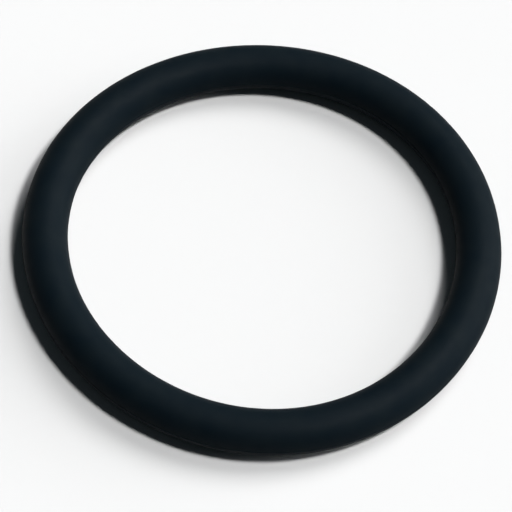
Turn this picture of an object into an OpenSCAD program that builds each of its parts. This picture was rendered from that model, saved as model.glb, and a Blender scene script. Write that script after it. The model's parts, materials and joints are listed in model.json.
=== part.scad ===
// Moulded rubber o-ring: one ring of round section, with the fine raised line
// that the split of its mould leaves round the inside and the outside.
// Millimetres. The ring lies flat: its axis is +Z, and the origin is the
// ring's centre, half-way up its section.

/* [Ring] */
// Inside diameter of the relaxed ring, across its round section
inner_d = 43; // [20:0.5:120]
// Diameter of the round section
section_d = 5; // [2:0.1:10]

/* [Mould line] */
// How far the trimmed mould line stands out of the round section
mould_line_h = 0.05; // [0.02:0.01:0.12]
// Width of the mould line, along the ring's axis
mould_line_w = 0.12; // [0.06:0.01:0.2]

/* [Colour] */
// Colour of the rubber
rubber_colour = "#161c21"; // [#161c21:Black, #5b3424:Brown, #8c2f22:Red]

/* [Hidden] */

// From the ring's axis to the middle of its section
centre_line_r = (inner_d + section_d) / 2;
// From the mould line's face inside the ring to its face outside
mould_line_across = section_d + 2 * mould_line_h;
$fn = 192;

// The ring's section about its own middle. One strip across its waist
// makes the mould line on both sides.
module section() {
    circle(d = section_d);
    square([mould_line_across, mould_line_w], center = true);
}

module o_ring() {
    color(rubber_colour)
        rotate_extrude()
            translate([centre_line_r, 0])
                section();
}

o_ring();
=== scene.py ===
import json
import math

import bmesh
import bpy
from mathutils import Matrix, Vector, noise


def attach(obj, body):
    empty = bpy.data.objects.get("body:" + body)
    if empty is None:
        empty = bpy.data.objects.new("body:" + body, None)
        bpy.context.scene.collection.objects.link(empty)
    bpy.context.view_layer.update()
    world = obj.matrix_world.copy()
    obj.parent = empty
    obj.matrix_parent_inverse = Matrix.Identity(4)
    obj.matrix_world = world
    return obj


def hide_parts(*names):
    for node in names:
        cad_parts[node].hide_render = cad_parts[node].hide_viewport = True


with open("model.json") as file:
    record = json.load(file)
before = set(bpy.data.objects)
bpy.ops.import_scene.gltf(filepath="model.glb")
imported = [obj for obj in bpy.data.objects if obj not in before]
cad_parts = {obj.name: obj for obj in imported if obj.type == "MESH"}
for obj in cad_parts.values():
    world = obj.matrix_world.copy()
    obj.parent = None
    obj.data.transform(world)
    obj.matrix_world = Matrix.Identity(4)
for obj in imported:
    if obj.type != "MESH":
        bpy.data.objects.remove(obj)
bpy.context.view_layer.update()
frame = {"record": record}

# A black rubber o-ring lying on a pale floor. Lengths are in metres, angles in degrees.
# The ring's sizes come from the frame: its two seats run round the mould line.

MM = 0.001

# Sizes of the ring
seat_r = {seat["name"]: seat["dims"]["r_mm"] * MM for seat in frame["record"]["mounts"]}
MOULD_LINE_H = 0.05 * MM
MOULD_LINE_W = 0.12 * MM
MOULD_LINE_ROUNDING = 0.015 * MM
CENTRE_LINE_R = (seat_r["inner_seat"] + seat_r["outer_seat"]) / 2
SECTION_R = (seat_r["outer_seat"] - seat_r["inner_seat"]) / 2 - MOULD_LINE_H
SECTION_STEPS = 120
RING_STEPS = 480
MERGE_GAP = 0.0001 * MM

# The mould line's corners and feet turn by more than this, the section's steps by less
SHARP_EDGE = 30

# Trimming takes up to this share of the mould line's height, more in some places than in
# others, and not the same inside as outside
TRIM_LOSS = 0.45
TRIM_PATCHES_PER_RADIAN = 9
TRIM_SIDES_APART = 2
TRIM_FROM = 0.1 * MOULD_LINE_H

# A soft ring at rest isn't quite circular: it has three shallow lobes, given as shares
# of its centre line's radius
LOBES = 3
LOBE_COS = -0.0056
LOBE_SIN = 0.0052

# Rubber: two blacks in cloudy patches, a matt finish, and relief from the mould
DEEP_BLACK = (0.0024, 0.0052, 0.0076, 1)
FADED_BLACK = (0.0037, 0.0066, 0.0086, 1)
PATCH_SIZE = 2.5 * MM
ROUGHNESS_FROM = 0.5
ROUGHNESS_TO = 0.6
ROUGHNESS_PATCH = 1.2 * MM
GLOSS = 0.023
FLOW_SIZE = 4 * MM
FLOW_DEPTH = 0.06 * MM
MOULD_GRAIN_SIZE = 0.15 * MM
MOULD_GRAIN_DEPTH = 0.003 * MM

# Blender's noise seldom leaves this range
NOISE_LOW = 0.3
NOISE_HIGH = 0.7

# Floor, with the ring's lowest point on it, and the dome that meets it all round
FLOOR_Z = -SECTION_R
FLOOR_SIZE = 8.0
FLOOR_COLOUR = (0.51, 0.51, 0.51, 1)
FLOOR_ROUGHNESS = 0.9
DOME_R = 3.2
DOME_STEPS_ROUND = 48
DOME_STEPS_UP = 24
DOME_GLOW = 0.965

# Light from the room, beside the three lights
ROOM_COLOUR = (0.7, 0.9, 1, 1)
ROOM_STRENGTH = 0.045

# Camera, as measured on the photograph's 512 pixel frame
PHOTO_PX = 512
RING_CENTRE_X_PX = 263.4
RING_CENTRE_Y_PX = 241.0
CENTRE_LINE_R_PX = 217.25
CAMERA_DISTANCE = 13.47 * CENTRE_LINE_R
CAMERA_AZIMUTH = -90
CAMERA_ELEVATION = 56.89
CAMERA_ROLL = 6.23
SENSOR_MM = 36
NEAREST_SEEN = 0.01
FARTHEST_SEEN = 20


# Making the ring


def section_wire(bm):
    """The round section as a closed wire in the XZ plane, with the mould line on both sides."""
    circle = bmesh.ops.create_circle(bm, segments=SECTION_STEPS, radius=SECTION_R)
    upright = Matrix.Rotation(math.radians(90), 3, "X")
    flat_at_waist = Matrix.Rotation(math.pi / SECTION_STEPS, 3, "Z")
    bmesh.ops.rotate(bm, verts=circle["verts"], matrix=upright @ flat_at_waist)
    for side in (-1, 1):
        raise_mould_line(bm, side)
    bmesh.ops.translate(bm, verts=bm.verts, vec=(CENTRE_LINE_R, 0, 0))


def raise_mould_line(bm, side):
    """Sets the wire's waist edge to the mould line's width and stands the line on it."""
    waist = max(bm.edges, key=lambda edge: side * sum(v.co.x for v in edge.verts))
    feet = list(waist.verts)
    for foot in feet:
        foot.co.z = math.copysign(MOULD_LINE_W / 2, foot.co.z)
        foot.co.x = side * math.sqrt(SECTION_R**2 - foot.co.z**2)
    bmesh.ops.delete(bm, geom=[waist], context="EDGES_FACES")
    crest = bmesh.ops.extrude_vert_indiv(bm, verts=feet)["verts"]
    for corner in crest:
        corner.co.x = side * (SECTION_R + MOULD_LINE_H)
    bmesh.ops.contextual_create(bm, geom=crest)


def round_mould_line(bm):
    """Rounds the mould line's corners and feet."""
    limit = math.radians(SHARP_EDGE)
    sharp = [edge for edge in bm.edges if edge.calc_face_angle(0) > limit]
    bmesh.ops.bevel(
        bm,
        geom=sharp,
        offset=MOULD_LINE_ROUNDING,
        affect="EDGES",
        segments=2,
        profile=0.5,
        material=-1,
    )


def turn_of(v):
    """The angle round the ring's axis at which a point lies, in radians."""
    return math.atan2(v.co.y, v.co.x)


def push_out(v, turn, distance):
    """Moves a point away from the ring's axis."""
    v.co.x += distance * math.cos(turn)
    v.co.y += distance * math.sin(turn)


def trim_mould_line(bm):
    """Lowers the mould line unevenly round the ring."""
    for v in bm.verts:
        turn = turn_of(v)
        out = math.hypot(v.co.x, v.co.y) - CENTRE_LINE_R
        proud = math.hypot(out, v.co.z) - SECTION_R
        if proud < TRIM_FROM:
            continue
        side = math.copysign(TRIM_SIDES_APART, out)
        place = Vector((math.cos(turn), math.sin(turn), side)) * TRIM_PATCHES_PER_RADIAN
        loss = TRIM_LOSS * (0.5 + 0.5 * noise.noise(place)) * proud
        push_out(v, turn, -math.copysign(loss, out))


def relax(bm):
    """Gives the ring the lobes that it has at rest."""
    for v in bm.verts:
        turn = turn_of(v)
        share = LOBE_COS * math.cos(LOBES * turn) + LOBE_SIN * math.sin(LOBES * turn)
        push_out(v, turn, share * CENTRE_LINE_R)


def relaxed_ring():
    """The moulded ring: its section spun once round, then trimmed and relaxed."""
    bm = bmesh.new()
    section_wire(bm)
    bmesh.ops.spin(
        bm,
        geom=bm.verts[:] + bm.edges[:],
        axis=(0, 0, 1),
        angle=math.radians(360),
        steps=RING_STEPS,
        use_merge=True,
    )
    bmesh.ops.remove_doubles(bm, verts=bm.verts, dist=MERGE_GAP)
    bmesh.ops.recalc_face_normals(bm, faces=bm.faces)
    round_mould_line(bm)
    trim_mould_line(bm)
    relax(bm)
    piece = add_mesh("relaxed_ring", bm, black_rubber())
    piece.data.shade_smooth()
    return piece


# Materials


def new_material(name):
    """A new material and its skin, the shader that a colour and a finish are set on."""
    material = bpy.data.materials.new(name)
    material.use_nodes = True
    return material, material.node_tree.nodes["Principled BSDF"]


def grain(tree, size, detail=2):
    """Noise on the object's own coordinates, with lumps of about the given size."""
    place = tree.nodes.new("ShaderNodeTexCoord")
    lumps = tree.nodes.new("ShaderNodeTexNoise")
    lumps.inputs["Scale"].default_value = 1 / size
    lumps.inputs["Detail"].default_value = detail
    tree.links.new(place.outputs["Object"], lumps.inputs["Vector"])
    return lumps.outputs["Fac"]


def spread(tree, value, low, high):
    """Turns noise into a value between low and high."""
    span = tree.nodes.new("ShaderNodeMapRange")
    span.inputs["From Min"].default_value = NOISE_LOW
    span.inputs["From Max"].default_value = NOISE_HIGH
    span.inputs["To Min"].default_value = low
    span.inputs["To Max"].default_value = high
    tree.links.new(value, span.inputs["Value"])
    return span.outputs["Result"]


def relief(tree, height, depth, under=None):
    """Bump of the given depth, on top of the bump under it."""
    bump = tree.nodes.new("ShaderNodeBump")
    bump.inputs["Distance"].default_value = depth
    tree.links.new(height, bump.inputs["Height"])
    if under:
        tree.links.new(under, bump.inputs["Normal"])
    return bump.outputs["Normal"]


def black_rubber():
    """Matt blue-black rubber with faint cloudy patches and the fine grain of its mould."""
    material, skin = new_material("black_rubber")
    tree = material.node_tree
    shade = tree.nodes.new("ShaderNodeMix")
    shade.data_type = "RGBA"
    shade.inputs["A"].default_value = DEEP_BLACK
    shade.inputs["B"].default_value = FADED_BLACK
    tree.links.new(spread(tree, grain(tree, PATCH_SIZE), 0, 1), shade.inputs["Factor"])
    tree.links.new(shade.outputs["Result"], skin.inputs["Base Color"])
    unevenness = grain(tree, ROUGHNESS_PATCH, detail=3)
    roughness = spread(tree, unevenness, ROUGHNESS_FROM, ROUGHNESS_TO)
    tree.links.new(roughness, skin.inputs["Roughness"])
    skin.inputs["Specular IOR Level"].default_value = GLOSS
    flow = relief(tree, grain(tree, FLOW_SIZE), FLOW_DEPTH)
    fine_grain = grain(tree, MOULD_GRAIN_SIZE, detail=4)
    mould_grain = relief(tree, fine_grain, MOULD_GRAIN_DEPTH, under=flow)
    tree.links.new(mould_grain, skin.inputs["Normal"])
    return material


def pale_floor():
    """A dull, even, pale surface."""
    material, skin = new_material("pale_floor")
    skin.inputs["Base Color"].default_value = FLOOR_COLOUR
    skin.inputs["Roughness"].default_value = FLOOR_ROUGHNESS
    skin.inputs["Specular IOR Level"].default_value = 0
    return material


def pale_backdrop():
    """An even glow, as pale as the lit floor."""
    material, skin = new_material("pale_backdrop")
    skin.inputs["Base Color"].default_value = (0, 0, 0, 1)
    skin.inputs["Specular IOR Level"].default_value = 0
    skin.inputs["Emission Color"].default_value = (1, 1, 1, 1)
    skin.inputs["Emission Strength"].default_value = DOME_GLOW
    return material


# Studio


def add(name, data):
    """Puts a new object into the scene."""
    made = bpy.data.objects.new(name, data)
    bpy.context.scene.collection.objects.link(made)
    return made


def add_mesh(name, bm, material):
    """Puts a new object into the scene, with the finished bmesh as its mesh."""
    mesh = bpy.data.meshes.new(name)
    bm.to_mesh(mesh)
    bm.free()
    mesh.materials.append(material)
    return add(name, mesh)


def floor():
    """A flat floor that reaches past the dome."""
    bm = bmesh.new()
    bmesh.ops.create_grid(bm, x_segments=1, y_segments=1, size=FLOOR_SIZE / 2)
    bmesh.ops.translate(bm, verts=bm.verts, vec=(0, 0, FLOOR_Z))
    add_mesh("floor", bm, pale_floor())


def backdrop():
    """A pale dome over the floor, which only the camera sees."""
    bm = bmesh.new()
    bmesh.ops.create_uvsphere(
        bm, u_segments=DOME_STEPS_ROUND, v_segments=DOME_STEPS_UP, radius=DOME_R
    )
    dome = add_mesh("backdrop", bm, pale_backdrop())
    dome.visible_diffuse = False
    dome.visible_glossy = False
    dome.visible_transmission = False
    dome.visible_shadow = False


def towards(azimuth, elevation):
    """The direction of a place seen from the ring; azimuth runs from +X towards +Y."""
    a = math.radians(azimuth)
    e = math.radians(elevation)
    return Vector((math.cos(e) * math.cos(a), math.cos(e) * math.sin(a), math.sin(e)))


def soft_light(name, azimuth, elevation, width, strength):
    """A far round light, width degrees across."""
    data = bpy.data.lights.new(name, "SUN")
    data.angle = math.radians(width)
    data.energy = strength
    lamp = add(name, data)
    lamp.rotation_euler = towards(azimuth, elevation).to_track_quat("Z", "Y").to_euler()


def lights():
    """A key light and two softer ones on the same side, in a dim room."""
    soft_light("key", azimuth=-7.5, elevation=65, width=10, strength=3.45)
    soft_light("window", azimuth=50, elevation=50, width=30, strength=2.4)
    soft_light("low_side", azimuth=20, elevation=15, width=50, strength=3.3)
    world = bpy.data.worlds.new("dim_room")
    world.use_nodes = True
    room = world.node_tree.nodes["Background"]
    room.inputs["Color"].default_value = ROOM_COLOUR
    room.inputs["Strength"].default_value = ROOM_STRENGTH
    bpy.context.scene.world = world


def camera():
    """The camera at the photograph's angle, with the ring where the photograph has it."""
    data = bpy.data.cameras.new("camera")
    data.sensor_width = SENSOR_MM
    data.lens = SENSOR_MM * CENTRE_LINE_R_PX / PHOTO_PX * CAMERA_DISTANCE / CENTRE_LINE_R
    data.shift_x = (PHOTO_PX / 2 - RING_CENTRE_X_PX) / PHOTO_PX
    data.shift_y = (RING_CENTRE_Y_PX - PHOTO_PX / 2) / PHOTO_PX
    data.clip_start = NEAREST_SEEN
    data.clip_end = FARTHEST_SEEN
    seen_by = add("camera", data)
    seen_by.location = CAMERA_DISTANCE * towards(CAMERA_AZIMUTH, CAMERA_ELEVATION)
    level = seen_by.location.to_track_quat("Z", "Y").to_matrix()
    roll = Matrix.Rotation(math.radians(CAMERA_ROLL), 3, "Z")
    seen_by.rotation_euler = (level @ roll).to_euler()
    bpy.context.scene.camera = seen_by


camera()
ring = relaxed_ring()
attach(ring, "root")
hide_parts("o_ring")
floor()
backdrop()
lights()
bpy.context.scene.view_settings.view_transform = "Standard"
